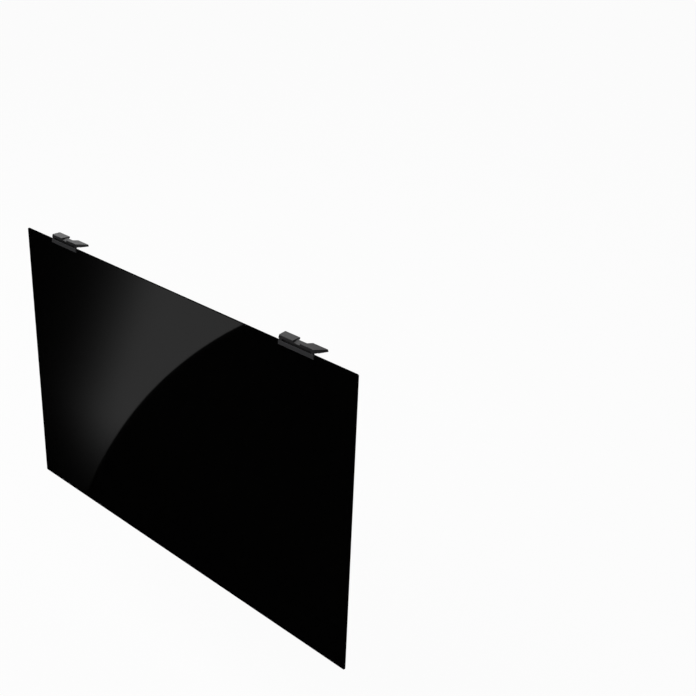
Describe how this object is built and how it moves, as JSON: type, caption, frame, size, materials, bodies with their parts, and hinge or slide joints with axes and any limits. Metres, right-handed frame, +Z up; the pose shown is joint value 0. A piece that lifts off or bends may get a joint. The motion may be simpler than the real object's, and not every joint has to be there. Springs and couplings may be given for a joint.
{
  "type": "privacy filter",
  "caption": "Flat gloss black panel with moulded clips on its top edge that hook over a screen, so that only a viewer straight in front can read it.",
  "frame": {"origin": "centre of the panel's back face, the face that lies against the screen", "axes": "+X along the panel's width to the viewer's right, +Y back towards the screen and out of the panel's back face, +Z up towards the clips"},
  "size_m": [0.545, 0.0148, 0.3383],
  "materials": {
    "panel": "gloss cast acrylic with a louvre film, almost opaque black",
    "clip": "fine moulded texture, black",
    "tape": "black foam tape, cut edges"
  },
  "bodies": {
    "root": {"filter_panel": "panel", "left_hanger_clip": "clip", "right_hanger_clip": "clip", "left_mounting_tape": "tape", "right_mounting_tape": "tape"}
  },
  "joints": []
}
